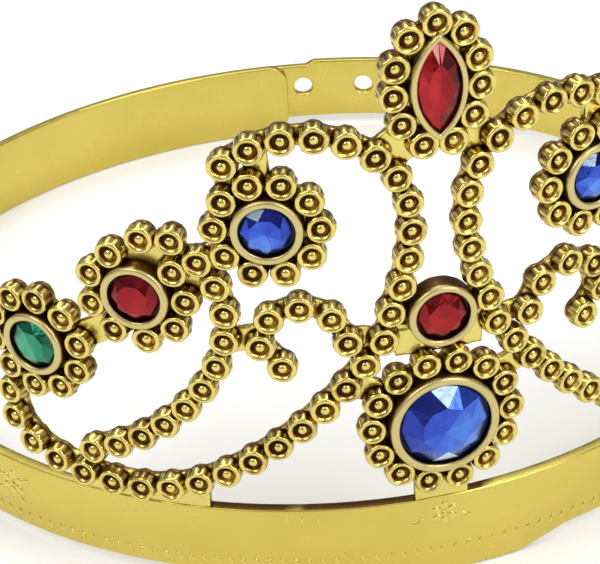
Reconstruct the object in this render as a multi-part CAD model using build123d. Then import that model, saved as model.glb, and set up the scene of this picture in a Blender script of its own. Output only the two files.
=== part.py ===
from build123d import *
import math
import os

# A costume crown: a springy head band whose two ends overlap and peg together at the back,
# and a pierced tiara of plates, bead cups and collet-set faceted stones standing on its front.
# Millimetres. +Z up, -Y is the front, X runs across the head. The origin is the middle of the
# footprint, on the surface that the crown stands on.

# --- driving dimensions: head band -------------------------------------------------------
half_width = 88.0            # outer radius of the front half of the ring
back_radius = 100.0          # outer radius of the flatter back
back_centre_y = -23.0        # centre of the back arc of the ring and of the inner strap
band_thickness = 2.2         # front half
strap_thickness = 1.6        # both straps, and the ring beside them
strap_gap = 0.2              # between the lapped straps
band_top = 16.3              # height of the level top edge
ear_rise = 2.6               # how far the lower edge is lifted round the sides
front_ramp = (14.0, 24.0)    # across the head, where that lift starts and is complete in front
back_ramp = (59.0, 76.0)     # the same behind the ears
inner_strap_root = -20.0     # flex line of each strap, degrees from the middle of the back
outer_strap_root = 25.0
inner_strap_tip = 8.2        # rounded end of the inner strap
outer_strap_tip = -9.6
tip_corner = 4.0             # corner radius of the strap ends
shoulder_angle = 11.4        # beyond this the outer strap narrows to its tongue
shoulder_drop = 1.0
hole_angles = (-5.1, 2.7, 10.5, 18.3)
hole_radius = 2.0
hole_height = 10.2
peg_radius = 1.4
peg_length = 2.2
peg_chamfer = 0.4
margin = 10.0                # how far a cutting shape reaches past what it cuts

# --- driving dimensions: tiara -----------------------------------------------------------
plate_thickness = 1.4        # the pierced sheet, flush with the outside of the band
pad_radius = 2.35            # round of sheet under each bead
bar_width = 3.6              # sheet between two beads
bead_radius = 2.4
bead_rim_radius = 2.15
bead_height = 2.2
bead_shoulder = 1.1          # where its wall starts to lean in
bead_clear = 0.01            # between a bead and the curved sheet
cup_radius = 1.55
cup_flare = 0.15
cup_floor = 1.2
pearl_radius = 0.9
# A collet: the girdle radius of its stone, its wall, its height and the reach of its lip.
small_collet = dict(radius=5.0, wall=1.0, height=2.8, lip=0.35)
red_collet = dict(radius=5.0, wall=0.9, height=3.0, lip=0.35)
great_collet = dict(radius=9.0, wall=0.6, height=3.2, lip=0.55)
collet_play = 0.05
collet_rim = 0.6             # the part of a collet above its stone's girdle
collet_edge = 0.4            # bevel outside the rim
lip_depth = 0.25
lip_bevel = 0.2
# A stone: how far its girdle stands out, its crown, the share of its table and its corners.
small_cut = dict(seat=2.2, crown=0.9, table=0.55, corners=8)
red_cut = dict(seat=2.4, crown=0.9, table=0.55, corners=8)
great_cut = dict(seat=2.6, crown=1.9, table=0.5, corners=10)
marquise_cut = dict(seat=2.3, crown=1.1, table=0.5, corners=12)
girdle = 0.2
stone_back = (0.55, 0.15)    # share of the girdle, and height, of a stone's blunt back

# Places on the tiara are (s, z): s is the distance round the outside of the band from the
# middle of the front, and z is the height.
great_blue_at = (0.0, 33.3)
centre_red_at = (0.0, 55.1)
marquise_at = (0.0, 97.8)
marquise_half = (4.3, 9.0)   # half width and half length of the pointed oval stone
marquise_axes = (7.2, 11.0)  # semi-axes of its wreath
marquise_count = 11
marquise_wall = 0.35
marquise_height = 3.0
marquise_rim = 0.5
marquise_trim = (0.8, 0.5)   # its oval of sheet is this much smaller than its wreath

# Half of the tiara. Each medallion: its place, the radius, number and first angle of the beads
# in its wreath. The red one has a gap in its wreath, where two beads stand out past a ledge.
medallions = {
    "blue": dict(at=(27.8, 73.9), radius=8.6, count=10, first=0.0),
    "red": dict(at=(50.3, 59.6), radius=8.5, count=9, first=21.0, gap=2,
                beyond=[(48.9, 70.7), (43.7, 71.0)]),
    "green": dict(at=(70.4, 45.6), radius=8.8, count=10, first=24.0),
}
great_wreath = dict(at=great_blue_at, radius=12.1, count=14, first=0.0)
# Each row of beads: the points that its line passes through, and the number of beads.
rows = {
    "arch": dict(count=12, via=[(8.35, 56.4), (4.8, 69.5), (6.6, 81.7), (14.1, 88.7),
                                (24.2, 90.3), (34.4, 85.6)]),
    "lower_scroll": dict(count=17, via=[(9.7, 51.1), (20.3, 37.8), (32.3, 27.7), (47.2, 20.6),
                                        (63.2, 20.5), (76.0, 26.4), (77.2, 33.4)]),
    "side_scroll": dict(count=11, via=[(39.4, 67.3), (35.5, 54.5), (40.1, 42.0), (51.2, 30.9),
                                       (60.9, 25.9)]),
    "curl": dict(count=6, via=[(15.6, 51.4), (19.4, 57.3), (26.2, 58.2), (30.0, 52.0),
                               (26.5, 47.0)]),
}
# Bars of sheet that tie a row or a medallion to its neighbours: two ends and a width.
ties = {
    "arch": [((7.8, 56.2), (0, 54.0), 4.6), ((34.4, 85.6), (33.5, 77.0), 4.2),
             ((29.4, 87.8), (28.5, 76.0), 4.2), ((9.0, 85.0), (1.0, 91.0), 7.0)],
    "lower_scroll": [((9.7, 51.1), (7.8, 56.2), 3.6), ((9.7, 51.1), (1.0, 51.0), 4.4),
                     ((16.7, 42.5), (6.0, 38.0), 4.6), ((77.2, 33.4), (73.5, 43.0), 4.0)],
    "side_scroll": [((39.1, 67.4), (31.0, 70.5), 4.2), ((39.1, 67.4), (46.0, 67.0), 4.2),
                    ((36.6, 62.6), (46.0, 61.0), 4.6), ((60.9, 25.9), (63.2, 20.5), 4.0)],
    "curl": [((15.6, 51.4), (9.7, 51.1), 3.6), ((29.6, 52.4), (36.2, 51.0), 4.6)],
    "red": [((53.5, 53.5), (65.0, 46.5), 5.0), ((50.3, 62.0), (46.4, 70.2), 8.0)],
}
scroll_foot = (40.5, 66.5)   # the stretch of the lower scroll that stands on the band
great_foot = 4.8             # half width of the centre medallion's foot
foot_height = 4.6
foot_overlap = 0.3           # a foot is drawn this far past the band's top, and cut level with it
sheet_height = 120.0
red_pad = 0.7                # sheet past the girdle of the centre red stone
wing_half, wing_height, wing_width = 7.6, 49.4, 5.2   # sheet either side of the centre red stone


def side_arc(centre_y):
    """Centre x, radius and end angle of the side arc that joins front half and back arc."""
    spare = back_radius - half_width
    centre_x = (centre_y**2 - spare**2) / (2 * spare)
    return centre_x, half_width - centre_x, math.degrees(math.atan2(-centre_y, centre_x))


outer_back_y = back_centre_y + strap_thickness + strap_gap
left_x, left_radius, left_angle = side_arc(back_centre_y)
right_x, right_radius, right_angle = side_arc(outer_back_y)


# --- the ring ----------------------------------------------------------------------------
def back_point(centre_y, radius, angle):
    """A point on a back arc, its angle measured from the middle of the back towards +X."""
    turn = math.radians(angle)
    return radius * math.sin(turn), centre_y + radius * math.cos(turn)


def back_strip(centre_y, start, end, low, high):
    """A curved strip of strap between two angles and two heights."""
    ring = Circle(back_radius) - Circle(back_radius - strap_thickness)
    reach = 2 * back_radius
    first, last = back_point(0, reach, start), back_point(0, reach, end)
    sector = make_face(Polyline((0, 0), first, back_point(0, 2 * reach, (start + end) / 2), last, close=True))
    return Pos(0, centre_y, low) * extrude(ring & sector, high - low)


def head_band():
    """The moulded ring, from the root of one strap round the front to the root of the other."""
    front_inner = half_width - band_thickness
    strap_inner = back_radius - strap_thickness
    left_meet = back_point(back_centre_y, strap_inner, left_angle - 90)
    right_meet = back_point(outer_back_y, strap_inner, 90 - right_angle)
    left_sweep = 90 - left_angle + inner_strap_root
    right_sweep = 90 - right_angle - outer_strap_root
    outline = [
        CenterArc((0, 0), half_width, 180, 180),
        CenterArc((right_x, 0), right_radius, 0, right_angle),
        CenterArc((0, outer_back_y), back_radius, right_angle, right_sweep),
        Line(back_point(outer_back_y, back_radius, outer_strap_root),
             back_point(outer_back_y, strap_inner, outer_strap_root)),
        CenterArc((0, outer_back_y), strap_inner, right_angle, right_sweep),
        TangentArc((front_inner, 0), right_meet, tangent=(0, 1)),
        CenterArc((0, 0), front_inner, 180, 180),
        TangentArc((-front_inner, 0), left_meet, tangent=(0, 1)),
        CenterArc((0, back_centre_y), strap_inner, 90 - inner_strap_root, left_sweep),
        Line(back_point(back_centre_y, strap_inner, inner_strap_root),
             back_point(back_centre_y, back_radius, inner_strap_root)),
        CenterArc((0, back_centre_y), back_radius, 90 - inner_strap_root, left_sweep),
        CenterArc((-left_x, 0), left_radius, 180 - left_angle, left_angle),
    ]
    ring = extrude(make_face(outline), band_top)
    for side in (-1, 1):
        ring -= edge_cut(side, front_ramp, 2 * back_radius)
        ring -= edge_cut(side, back_ramp, -2 * back_radius)
    return ring - right_back_cut()


def edge_cut(side, ramp, forwards):
    """What the lower edge loses on one side, in front of the ears or behind them."""
    start, full = ramp
    far = half_width + margin
    below = -margin
    shape = make_face(Polyline((side * start, 0), (side * full, ear_rise), (side * far, ear_rise),
                               (side * far, below), (side * start, below), close=True))
    return extrude(Plane.XZ * shape, forwards)


def right_back_cut():
    """The outer strap is narrower, and the ring beside it keeps the raised lower edge."""
    start = back_point(0, back_radius - 2 * strap_thickness, outer_strap_root)[0] - strap_thickness
    width, depth = half_width + margin - start, 2 * half_width
    return Pos(start + width / 2, depth / 2, ear_rise / 2) * Box(width, depth, ear_rise)


def inner_strap():
    strip = back_strip(back_centre_y, inner_strap_root, inner_strap_tip, 0, band_top)
    return round_tip(strip, back_centre_y, inner_strap_tip)


def outer_strap():
    strip = back_strip(outer_back_y, outer_strap_tip, outer_strap_root, ear_rise, band_top)
    tongue_cut = back_strip(outer_back_y, outer_strap_tip - 1, shoulder_angle,
                            band_top - shoulder_drop, band_top + 1)
    strip = round_tip(strip - tongue_cut, outer_back_y, outer_strap_tip)
    for angle in hole_angles:
        strip -= radial(outer_back_y, angle, hole_height) * Cylinder(hole_radius, margin)
    return strip


def round_tip(strip, centre_y, tip):
    """Rounds the two short edges at the free end of a strap."""
    tip_x, tip_y = back_point(centre_y, back_radius - strap_thickness / 2, tip)
    edges = [e for e in strip.edges()
             if abs(e.length - strap_thickness) < 0.01
             and math.hypot(e.center().X - tip_x, e.center().Y - tip_y) < 0.5]
    return fillet(edges, tip_corner)


def radial(centre_y, angle, height, radius=back_radius):
    """A frame on the back of a strap, its Z axis pointing out of the ring."""
    x, y = back_point(centre_y, radius, angle)
    turn = math.radians(angle)
    return Plane((x, y, height), x_dir=(0, 0, 1), z_dir=(math.sin(turn), math.cos(turn), 0))


def closure_pegs():
    peg = extrude(Circle(peg_radius), peg_length)
    peg = chamfer(peg.edges().group_by(Axis.Z)[-1], peg_chamfer)
    return [radial(back_centre_y, angle, hole_height) * peg for angle in hole_angles[:2]]


# --- the tiara's sheet -------------------------------------------------------------------
def on_band(place, out=0.0):
    """A frame on the outside of the band: X runs along s, Y is up, Z points outwards."""
    s, z = place
    turn = s / half_width
    reach = half_width + out
    origin = (reach * math.sin(turn), -reach * math.cos(turn), z)
    return Plane(origin, x_dir=(math.cos(turn), math.sin(turn), 0),
                 z_dir=(math.sin(turn), -math.cos(turn), 0))


def through(outline, place):
    """The outline cut right through the sheet at a place."""
    return extrude(on_band(place) * outline, 3 * plate_thickness, both=True)


def bar(start, end, width):
    """A straight bar of sheet from one place to another."""
    across, up = end[0] - start[0], end[1] - start[1]
    middle = ((start[0] + end[0]) / 2, (start[1] + end[1]) / 2)
    shape = Rot(0, 0, math.degrees(math.atan2(up, across))) * Rectangle(math.hypot(across, up), width)
    return through(shape, middle)


def sheet(pieces, neighbours=()):
    """Joins through-cuts into one curved plate that stops at the plates beside it."""
    shell = Cylinder(half_width, sheet_height) - Cylinder(half_width - plate_thickness, sheet_height)
    plate = pieces[0] + pieces[1:]
    plate = plate & (Pos(0, 0, band_top + sheet_height / 2) * shell)
    for other in neighbours:
        plate -= other
    return largest(plate)


def largest(plate):
    """The main solid, without crumbs that a neighbour cuts off."""
    return max(plate.solids(), key=lambda solid: solid.volume)


def mirrored(place, side):
    return side * place[0], place[1]


def row_places(name, side):
    """Evenly spaced places along a row."""
    line = Spline(*rows[name]["via"])
    count = rows[name]["count"]
    places = []
    for k in range(count):
        point = line.position_at(line.length * k / (count - 1), position_mode=PositionMode.LENGTH)
        places.append(mirrored((point.X, point.Y), side))
    return places


def wreath_places(at, radius, count, first, gap=None, beyond=(), side=1):
    """Places round a circle, leaving out any gap, and then the places beyond it."""
    places = []
    for k in range(count):
        turn = math.radians(first + k * 360 / count)
        if k != gap:
            places.append((at[0] + radius * math.cos(turn), at[1] + radius * math.sin(turn)))
    return [mirrored(place, side) for place in places + list(beyond)]


def marquise_places():
    """Places round the long stone, nearly even along their oval, from the top."""
    wide, tall = marquise_axes
    places = []
    for k in range(marquise_count):
        turn = math.pi / 2 + 2 * math.pi * k / marquise_count
        turn -= (tall - wide) / (2 * (tall + wide)) * math.sin(2 * turn)
        places.append((marquise_at[0] + wide * math.cos(turn), marquise_at[1] + tall * math.sin(turn)))
    return places


def row_plate(name, side, neighbours):
    places = row_places(name, side)
    pieces = [through(Circle(pad_radius), place) for place in places]
    pieces += [bar(a, b, bar_width) for a, b in zip(places, places[1:])]
    for start, end, width in ties[name]:
        pieces.append(bar(mirrored(start, side), mirrored(end, side), width))
    if name == "lower_scroll":
        start, end = scroll_foot
        height = band_top + foot_height / 2 - foot_overlap
        middle = ((start + end) / 2, height)
        pieces.append(bar(mirrored((start, height), side), mirrored(middle, side), foot_height))
        pieces.append(bar(mirrored(middle, side), mirrored((end, height), side), foot_height))
    return sheet(pieces, neighbours)


def medallion_plate(at, axes, places, extra=()):
    """An oval of sheet with a round of sheet under each bead of the wreath."""
    pieces = [through(Ellipse(*axes), at)]
    pieces += [through(Circle(pad_radius), place) for place in places]
    return sheet(pieces + list(extra))


# --- beads, collets and stones -----------------------------------------------------------
def bead():
    """A small cup with a pearl in it, turned about the outward axis."""
    half = make_face([
        Polyline((0, bead_clear), (bead_radius, bead_clear), (bead_radius, bead_shoulder),
                 (bead_rim_radius, bead_height), (cup_radius + cup_flare, bead_height),
                 (cup_radius, cup_floor), (pearl_radius, cup_floor)),
        CenterArc((0, cup_floor), pearl_radius, 0, 90),
        Line((0, cup_floor + pearl_radius), (0, bead_clear)),
    ])
    return revolve(Plane.XZ * half, Axis.Z)


def beads(places):
    one = bead()
    return [on_band(place) * one for place in places]


def clear_of_band(part):
    """Trims the underside of a part to the curve of the sheet that it sits on."""
    return part - Pos(0, 0, sheet_height / 2) * Cylinder(half_width, sheet_height)


def round_collet(at, radius, wall, height, lip):
    """A ring with a lip that holds a round stone down, its foot trimmed to the sheet."""
    seat = height - collet_rim
    foot = -plate_thickness
    half = make_face(Polyline(
        (radius + collet_play, foot), (radius + collet_play, seat + collet_play),
        (radius - lip, height - lip_depth), (radius - lip + lip_bevel, height),
        (radius + wall - collet_edge, height), (radius + wall, height - collet_edge),
        (radius + wall, foot), close=True))
    return clear_of_band(on_band(at) * revolve(Plane.XZ * half, Axis.Z))


def almond(offset):
    """The pointed oval of the long stone, grown or shrunk by an offset."""
    width, length = marquise_half
    bend = (width**2 + length**2) / (2 * width)
    radius = bend + offset
    tip = math.sqrt(radius**2 - (bend - width) ** 2)
    right = ThreePointArc((0, -tip), (width + offset, 0), (0, tip))
    left = ThreePointArc((0, tip), (-width - offset, 0), (0, -tip))
    return make_face([right, left])


def marquise_collet():
    seat = marquise_height - marquise_rim
    foot = -plate_thickness
    body = Pos(0, 0, foot) * extrude(almond(marquise_wall) - almond(collet_play), seat - foot)
    rim = Pos(0, 0, seat) * extrude(almond(marquise_wall) - almond(-small_collet["lip"]), marquise_rim)
    return clear_of_band(on_band(marquise_at) * (body + rim))


def gem(outline, seat, crown, table, corners):
    """A faceted stone: a table, a belt of triangles, a thin girdle and a blunt back.

    outline(turn, share) gives a corner at a share of the stone's full size."""
    step = 360 / corners
    back_share, back_height = stone_back
    back = [(*outline(k * step, back_share), back_height) for k in range(corners)]
    low = [(*outline(k * step, 1.0), seat - girdle) for k in range(corners)]
    high = [(*outline(k * step, 1.0), seat) for k in range(corners)]
    top = [(*outline((k + 0.5) * step, table), seat + crown) for k in range(corners)]
    polygons = [top, back[::-1]]
    for k in range(corners):
        after = (k + 1) % corners
        polygons.append([back[k], back[after], low[after], low[k]])
        polygons.append([low[k], low[after], high[after], high[k]])
        polygons.append([high[k], high[after], top[k]])
        polygons.append([top[k], high[after], top[after]])
    faces = [Face(Wire.make_polygon(points)) for points in polygons]
    return Solid(Shell(faces))


def round_outline(radius):
    def corner(turn, share):
        return (share * radius * math.cos(math.radians(turn)),
                share * radius * math.sin(math.radians(turn)))
    return corner


def round_stone(at, collet, cut):
    return on_band(at) * gem(round_outline(collet["radius"]), **cut)


def almond_outline(turn, share):
    """Corners on the pointed oval: its tips are at 90 and 270 degrees."""
    width, length = marquise_half
    bend = (width**2 + length**2) / (2 * width)
    up = length * math.sin(math.radians(turn))
    across = math.sqrt(bend**2 - up**2) - (bend - width)
    return share * math.copysign(across, math.cos(math.radians(turn))), share * up


# --- assembly ----------------------------------------------------------------------------
def side_nodes(side, word, centre_plates):
    """Every node of one half of the tiara."""
    nodes = {}
    plates = {}
    for name, wreath in medallions.items():
        places = wreath_places(side=side, **wreath)
        radius = wreath["radius"]
        at = mirrored(wreath["at"], side)
        extra = [bar(mirrored(a, side), mirrored(b, side), width) for a, b, width in ties.get(name, [])]
        plate = medallion_plate(at, (radius, radius), places, extra)
        if name == "green":
            nodes[f"{word}_red_plate"] = largest(plates["red"] - plate)
            plates["red"] = nodes[f"{word}_red_plate"]
        plates[name] = plate
        nodes[f"{word}_{name}_plate"] = plate
        nodes[f"{word}_{name}_collet"] = round_collet(at, **small_collet)
        nodes[f"{word}_{name}_stone"] = round_stone(at, small_collet, small_cut)
        nodes[f"{word}_{name}_beads"] = beads(places)
    standing = list(plates.values()) + centre_plates
    for name in ("arch", "lower_scroll", "side_scroll", "curl"):
        plate = row_plate(name, side, standing)
        standing.append(plate)
        nodes[f"{word}_{name}_plate"] = plate
        nodes[f"{word}_{name}_beads"] = beads(row_places(name, side))
    return nodes


def centre_nodes():
    """The nodes on the centre line of the tiara."""
    great_places = wreath_places(**great_wreath)
    great_radius = great_wreath["radius"]
    foot = bar((0, band_top - foot_overlap), great_blue_at, 2 * great_foot)
    great_plate = medallion_plate(great_blue_at, (great_radius, great_radius), great_places, [foot])
    wings = bar((-wing_half, wing_height), (wing_half, wing_height), wing_width)
    red_plate = sheet([through(Circle(red_collet["radius"] + red_pad), centre_red_at), wings], [great_plate])
    marquise_oval = [axis - trim for axis, trim in zip(marquise_axes, marquise_trim)]
    marquise_plate = medallion_plate(marquise_at, marquise_oval, marquise_places())
    collet_room = on_band(marquise_at) * extrude(almond(marquise_wall + collet_play), 2 * bead_height)
    return {
        "centre_blue_plate": great_plate,
        "centre_blue_collet": round_collet(great_blue_at, **great_collet),
        "centre_blue_stone": round_stone(great_blue_at, great_collet, great_cut),
        "centre_blue_beads": beads(great_places),
        "centre_red_plate": red_plate,
        "centre_red_collet": round_collet(centre_red_at, **red_collet),
        "centre_red_stone": round_stone(centre_red_at, red_collet, red_cut),
        "marquise_plate": marquise_plate,
        "marquise_collet": marquise_collet(),
        "marquise_stone": on_band(marquise_at) * gem(almond_outline, **marquise_cut),
        "marquise_beads": [one - collet_room for one in beads(marquise_places())],
    }


def save(node, shape, forward):
    """Writes one node, moved so that the origin is the middle of the footprint."""
    solids = [solid for piece in (shape if isinstance(shape, list) else [shape]) for solid in piece.solids()]
    moved = [Pos(0, forward, 0) * solid for solid in solids]
    export_step(moved[0] if len(moved) == 1 else Compound(children=moved), f"parts/{node}.step")


def main():
    os.makedirs("parts", exist_ok=True)
    nodes = {
        "head_band": head_band(),
        "inner_strap": inner_strap(),
        "outer_strap": outer_strap(),
        "closure_pegs": closure_pegs(),
    }
    nodes.update(centre_nodes())
    centre_plates = [nodes[name] for name in ("centre_blue_plate", "centre_red_plate", "marquise_plate")]
    for side, word in ((-1, "left"), (1, "right")):
        nodes.update(side_nodes(side, word, centre_plates))
    front_reach = half_width + great_cut["seat"] + great_cut["crown"]
    back_reach = back_point(back_centre_y, back_radius + peg_length, hole_angles[1])[1]
    forward = (front_reach - back_reach) / 2
    for node, shape in nodes.items():
        save(node, shape, forward)


main()
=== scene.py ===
"""Looks of the costume crown: gold-plated plastic with dark antique paint in its hollows, bead cups,
smooth collets and foil-backed faceted stones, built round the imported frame.
Metres, +Z up, and -Y is the front."""
import math
import random

import bmesh
import bpy
from mathutils import Matrix, Vector, kdtree


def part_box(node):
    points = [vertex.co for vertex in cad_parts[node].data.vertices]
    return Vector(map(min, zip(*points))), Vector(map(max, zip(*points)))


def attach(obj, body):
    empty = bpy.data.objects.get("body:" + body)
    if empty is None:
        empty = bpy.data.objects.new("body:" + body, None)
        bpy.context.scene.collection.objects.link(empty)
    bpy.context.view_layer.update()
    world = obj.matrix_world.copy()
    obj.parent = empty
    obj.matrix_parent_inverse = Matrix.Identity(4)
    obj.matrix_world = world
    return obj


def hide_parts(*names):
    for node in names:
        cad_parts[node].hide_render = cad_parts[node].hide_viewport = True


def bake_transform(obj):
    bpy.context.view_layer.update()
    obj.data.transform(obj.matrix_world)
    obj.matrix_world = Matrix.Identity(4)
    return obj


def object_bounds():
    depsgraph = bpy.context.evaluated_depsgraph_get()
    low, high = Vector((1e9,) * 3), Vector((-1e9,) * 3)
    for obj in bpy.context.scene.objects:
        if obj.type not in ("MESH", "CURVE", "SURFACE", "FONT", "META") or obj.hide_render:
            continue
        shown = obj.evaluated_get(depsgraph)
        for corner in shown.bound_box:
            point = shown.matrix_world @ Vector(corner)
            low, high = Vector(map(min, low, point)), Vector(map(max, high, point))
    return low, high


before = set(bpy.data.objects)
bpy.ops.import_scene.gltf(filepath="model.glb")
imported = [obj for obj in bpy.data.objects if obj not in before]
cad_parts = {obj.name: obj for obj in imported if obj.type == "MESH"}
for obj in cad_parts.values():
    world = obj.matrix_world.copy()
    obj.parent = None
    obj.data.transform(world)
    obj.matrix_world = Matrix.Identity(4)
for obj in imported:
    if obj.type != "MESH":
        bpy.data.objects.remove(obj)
cad_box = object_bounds()
random.seed(4)

MM = 0.001

# --- the frame's own measures ------------------------------------------------------------
band_low, band_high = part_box("head_band")
ring_radius = (band_high.x - band_low.x) / 2
ring_y = band_low.y + ring_radius          # centre of the front half of the ring
band_top = band_high.z
round_stone = 5.0 * MM
great_stone = 9.0 * MM
marquise_half = (4.3 * MM, 9.0 * MM)

# --- the ring, as the part draws it: arcs about centres on the ring's own axes -----------
band_thickness = 2.2 * MM
strap_thickness = 1.6 * MM
strap_gap = 0.2 * MM
back_radius = 100.0 * MM
inner_back_y = -23.0 * MM
outer_back_y = inner_back_y + strap_thickness + strap_gap
ear_rise = 2.6 * MM
front_ramp = (14.0 * MM, 24.0 * MM)
back_ramp = (59.0 * MM, 76.0 * MM)
inner_root, inner_tip = -20.0, 8.2         # degrees from the middle of the back
outer_root, outer_tip = 25.0, -9.6
shoulder_angle, shoulder_drop, shoulder_length = 11.4, 1.0 * MM, 2.4 * MM
tip_corner = 4.0 * MM
hole_angles = (-5.1, 2.7, 10.5, 18.3)
hole_radius = 2.0 * MM
hole_height = 10.2 * MM
edge_round = 0.35 * MM
inner_bend, outer_bend = 12.0 * MM, 9.0 * MM   # a length of each strap next to its root

# --- brown antiquing and painted shade on the band's top, in mm round it from the front ---
DARK_STRETCH = (-40.0, 5.5)  # from the left foot to just past the middle one
DARK_FADE = 5.5
PALER_MIDDLE, PALER_REACH = -25.0, 14.0
PALER = 0.34                  # how much of the brown is taken off at the middle of the paler stretch
INNER_SHADE = 0.45           # painted shade on the inner part of the top all the way round
SECTION_POINTS = 20          # of the band's rounded section
OUTER_TOP = (3, 4)           # which of them lie on the outer and the inner part of its top
INNER_TOP = (5, 6, 7)
SHARP = math.radians(35)     # edges that turn more stay sharp

SIDES = ("left", "right")
ROWS = ("arch", "lower_scroll", "side_scroll", "curl")
MEDALLIONS = ("blue", "red", "green")


def axes_at(s):
    """Unit vectors along the band, up, and outwards, at a distance s round it from the front."""
    turn = s / ring_radius
    along = Vector((math.cos(turn), math.sin(turn), 0))
    outward = Vector((math.sin(turn), -math.cos(turn), 0))
    return along, Vector((0, 0, 1)), outward


def on_band(s, z, out=0.0):
    """A point at a distance round the band, a height, and a distance out from its surface."""
    outward = axes_at(s)[2]
    return Vector((0, ring_y, z)) + outward * (ring_radius + out)


def place_of(point):
    """(s, z, out) of a point."""
    turn = math.atan2(point.x, ring_y - point.y)
    reach = math.hypot(point.x, ring_y - point.y)
    return turn * ring_radius, point.z, reach - ring_radius


def solids_of(node):
    """The places (s, z, out) of the corners of each separate solid in a CAD node.

    They come in the mesh's own order, which a set's wouldn't be: equal beads then sort the same way,
    and get the same random draws, on every run."""
    mesh = bmesh.new()
    mesh.from_mesh(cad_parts[node].data)
    bmesh.ops.remove_doubles(mesh, verts=mesh.verts, dist=1e-6)
    seen = set()
    solids = []
    for first in mesh.verts:
        if first in seen:
            continue
        seen.add(first)
        stack = [first]
        corners = []
        while stack:
            corner = stack.pop()
            corners.append(place_of(corner.co))
            for edge in corner.link_edges:
                other = edge.other_vert(corner)
                if other not in seen:
                    seen.add(other)
                    stack.append(other)
        solids.append(corners)
    mesh.free()
    return solids


def bead_places(node):
    """Where each bead of a CAD node stands: the (s, z) of the pearl in its cup."""
    reach = 1.1 * MM
    places = []
    for corners in solids_of(node):
        s = (min(c[0] for c in corners) + max(c[0] for c in corners)) / 2
        z = (min(c[1] for c in corners) + max(c[1] for c in corners)) / 2
        for _ in range(8):
            near = [c for c in corners if math.hypot(c[0] - s, c[1] - z) < reach]
            s = sum(c[0] for c in near) / len(near)
            z = sum(c[1] for c in near) / len(near)
        places.append((s, z))
    return sorted(places)


def middle_of(node):
    """The (s, z) of the middle of a CAD node that isn't bent far round the band."""
    low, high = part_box(node)
    s, z, _ = place_of((low + high) / 2)
    return s, z


# --- mesh making -------------------------------------------------------------------------
class Shape:
    """Points, faces and a share of antique brown and painted shade for each point, gathered into one
    mesh.
    """

    def __init__(self):
        self.points = []
        self.faces = []
        self.paint_and_shade = []

    def add(self, points, faces, paint_and_shade):
        first = len(self.points)
        self.points += points
        self.faces += [[first + k for k in face] for face in faces]
        self.paint_and_shade += paint_and_shade

    def piece(self, name, material):
        mesh = bpy.data.meshes.new(name)
        mesh.from_pydata([tuple(p) for p in self.points], [], self.faces)
        mesh.shade_smooth()
        attribute = mesh.attributes.new("paint_and_shade", "FLOAT", "POINT")
        attribute.data.foreach_set("value", self.paint_and_shade)
        piece = bpy.data.objects.new(name, mesh)
        bpy.context.scene.collection.objects.link(piece)
        mesh.materials.append(material)
        return piece


def rings_to_faces(rings, count, closed_end):
    """Quads between rings of points, and a fan of triangles to a last single point."""
    faces = []
    for ring in range(rings - 1):
        for k in range(count):
            after = (k + 1) % count
            a, b = ring * count, (ring + 1) * count
            faces.append([a + k, a + after, b + after, b + k])
    if closed_end:
        last = (rings - 1) * count
        faces += [[last + k, last + (k + 1) % count, rings * count] for k in range(count)]
    return faces


def turned(profile, count):
    """A turned shape's (across, up, out) points and paint, from (radius, out, paint) steps in mm."""
    points = []
    paint_and_shade = []
    for radius, out, shade in profile:
        for k in range(count):
            turn = 2 * math.pi * k / count
            points.append((radius * math.cos(turn) * MM, radius * math.sin(turn) * MM, out * MM))
            paint_and_shade.append(shade)
    return points, paint_and_shade


def put_at(points, s, z):
    """Moves (across, up, out) points to a place on the band."""
    along, up, outward = axes_at(s)
    origin = on_band(s, z)
    return [origin + along * x + up * y + outward * out for x, y, out in points]


# --- materials ---------------------------------------------------------------------------
def grey(value):
    return (value, value, value)


def new_material(name):
    """A material with its nodes, links and shader."""
    material = bpy.data.materials.new(name)
    material.use_nodes = True
    nodes = material.node_tree.nodes
    return material, nodes, material.node_tree.links, nodes["Principled BSDF"]


def noise_node(nodes, links, scale, detail=3.0, roughness=0.55):
    """Noise in the space of the object, with its scale per metre."""
    where = nodes.new("ShaderNodeTexCoord")
    noise = nodes.new("ShaderNodeTexNoise")
    noise.inputs["Scale"].default_value = scale
    noise.inputs["Detail"].default_value = detail
    noise.inputs["Roughness"].default_value = roughness
    links.new(where.outputs["Object"], noise.inputs["Vector"])
    return noise


def attribute_node(nodes, name):
    """What the mesh says under this name at each point or face."""
    node = nodes.new("ShaderNodeAttribute")
    node.attribute_name = name
    return node


def ramp_node(nodes, links, source, stops):
    """A colour ramp through stops of (position, colour)."""
    ramp = nodes.new("ShaderNodeValToRGB")
    elements = ramp.color_ramp.elements
    while len(elements) < len(stops):
        elements.new(0.5)
    for element, (position, colour) in zip(elements, stops):
        element.position = position
        element.color = (*colour, 1)
    links.new(source, ramp.inputs["Fac"])
    return ramp


def math_node(nodes, links, operation, *values):
    """A sum of numbers and sockets, such as a * b + c for MULTIPLY_ADD."""
    node = nodes.new("ShaderNodeMath")
    node.operation = operation
    for socket, value in zip(node.inputs, values):
        if isinstance(value, (int, float)):
            socket.default_value = value
        else:
            links.new(value, socket)
    return node.outputs[0]


def bump_node(nodes, links, height, strength, distance, normal=None):
    bump = nodes.new("ShaderNodeBump")
    bump.inputs["Strength"].default_value = strength
    bump.inputs["Distance"].default_value = distance
    links.new(height, bump.inputs["Height"])
    if normal is not None:
        links.new(normal, bump.inputs["Normal"])
    return bump.outputs["Normal"]


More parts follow.
